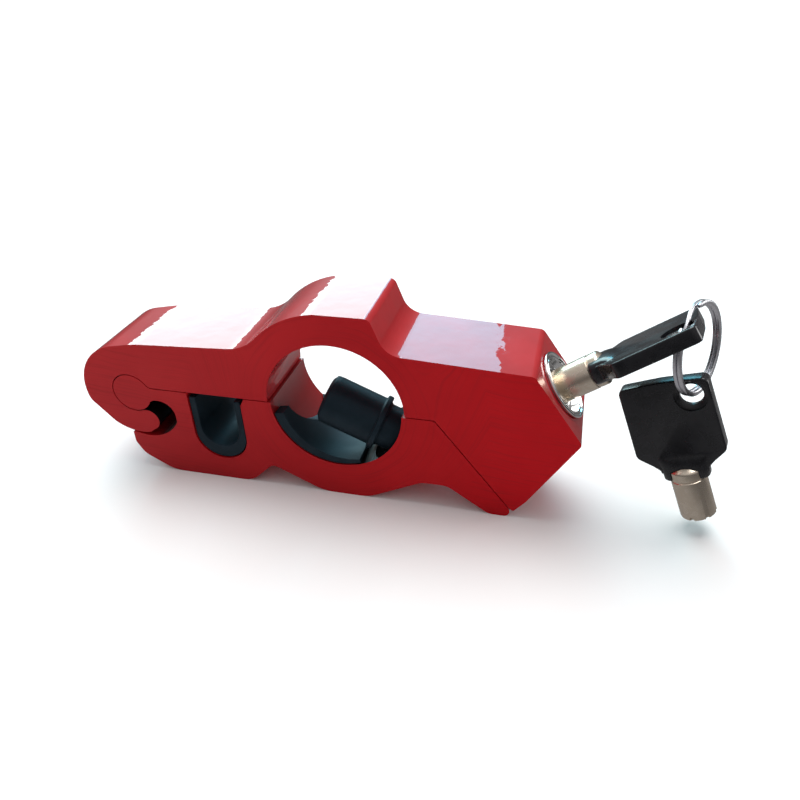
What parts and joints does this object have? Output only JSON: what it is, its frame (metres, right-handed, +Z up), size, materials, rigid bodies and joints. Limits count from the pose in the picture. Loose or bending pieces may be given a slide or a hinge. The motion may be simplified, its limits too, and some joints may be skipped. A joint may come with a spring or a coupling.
{
  "type": "motorcycle grip lock",
  "caption": "Red two-jaw lock that clamps a brake lever to a handlebar grip, with a hooked hinge, a pin-tumbler lock and its tubular key, ring and spare key.",
  "frame": {"origin": "middle of the whole assembly's box at its lowest face, the underside of the lower jaw's front lobe", "axes": "+X from the hinge towards the lock and keys, the longest way; +Y to the back, across the jaws' thickness and along the handlebar, the shortest way; +Z up from the lower jaw to the upper jaw"},
  "size_m": [0.1874, 0.0268, 0.0639],
  "materials": {
    "red_paint": "gloss red coating over machined aluminium",
    "black_rubber": "moulded rubber with a soft sheen",
    "bright_nickel": "bright nickel plate",
    "satin_steel": "turned and satin ground",
    "sintered_steel": "matt sintered steel",
    "hard_steel": "ground hardened steel",
    "pin_brass": "turned brass",
    "spring_steel": "drawn wire",
    "nickel_plate": "nickel plate, satin",
    "key_moulding": "gloss black moulding",
    "split_ring_wire": "nickel plated spring wire"
  },
  "bodies": {
    "lower": {"lower_jaw": "red_paint", "grip_pad": "black_rubber", "lever_pad": "black_rubber", "grip_bumper": "black_rubber", "strike_bush": "satin_steel"},
    "upper": {"upper_jaw": "red_paint", "lock_case": "bright_nickel", "pin_block": "sintered_steel", "bolt_guide": "sintered_steel", "grub_screw": "satin_steel", "driver_pin_1": "satin_steel", "driver_pin_2": "satin_steel", "driver_pin_3": "satin_steel", "driver_pin_4": "satin_steel", "driver_pin_5": "satin_steel", "driver_pin_6": "satin_steel", "driver_pin_7": "satin_steel", "pin_spring_1": "spring_steel", "pin_spring_2": "spring_steel", "pin_spring_3": "spring_steel", "pin_spring_4": "spring_steel", "pin_spring_5": "spring_steel", "pin_spring_6": "spring_steel", "pin_spring_7": "spring_steel"},
    "plug": {"lock_rotor": "satin_steel", "cam_sleeve": "sintered_steel", "key_pin_1": "pin_brass", "key_pin_2": "pin_brass", "key_pin_3": "pin_brass", "key_pin_4": "pin_brass", "key_pin_5": "pin_brass", "key_pin_6": "pin_brass", "key_pin_7": "pin_brass"},
    "bolt": {"bolt": "hard_steel", "bolt_pin": "satin_steel"},
    "key": {"key_barrel": "nickel_plate", "key_bow": "key_moulding"},
    "ring": {"key_ring": "split_ring_wire"},
    "spare_key": {"spare_key_barrel": "nickel_plate", "spare_key_bow": "key_moulding"}
  },
  "joints": [
    {"name": "jaw_hinge", "type": "hinge", "parent": "lower", "child": "upper", "pos_m": [-0.07765, 0, 0.0283], "axis": [0, -1, 0], "range_deg": [0, 28]},
    {"name": "key_turn", "type": "hinge", "parent": "upper", "child": "plug", "pos_m": [0.04925, 0, 0.0378], "axis": [0.8192, 0, 0.5736], "range_deg": [0, 90]},
    {"name": "bolt_slide", "type": "slide", "parent": "upper", "child": "bolt", "axis": [-0.8192, 0, -0.5736], "range_m": [0, 0.00601]},
    {"name": "key_slide", "type": "slide", "parent": "plug", "child": "key", "axis": [0.8192, 0, 0.5736], "range_m": [0, 0.03]},
    {"name": "ring_swing", "type": "hinge", "parent": "key", "child": "ring", "pos_m": [0.07574, -0.00618, 0.05837], "axis": [-0.554, 0.2588, 0.7912], "range_deg": [-30, 3]},
    {"name": "spare_key_swing", "type": "hinge", "parent": "ring", "child": "spare_key", "pos_m": [0.08158, -0.00263, 0.04089], "axis": [-0.2197, -0.9739, 0.0575], "range_deg": [0, 25]}
  ],
  "couplings": [
    {"joint": "bolt_slide", "follows": "key_turn", "m_per_rad": 0.0038197}
  ]
}
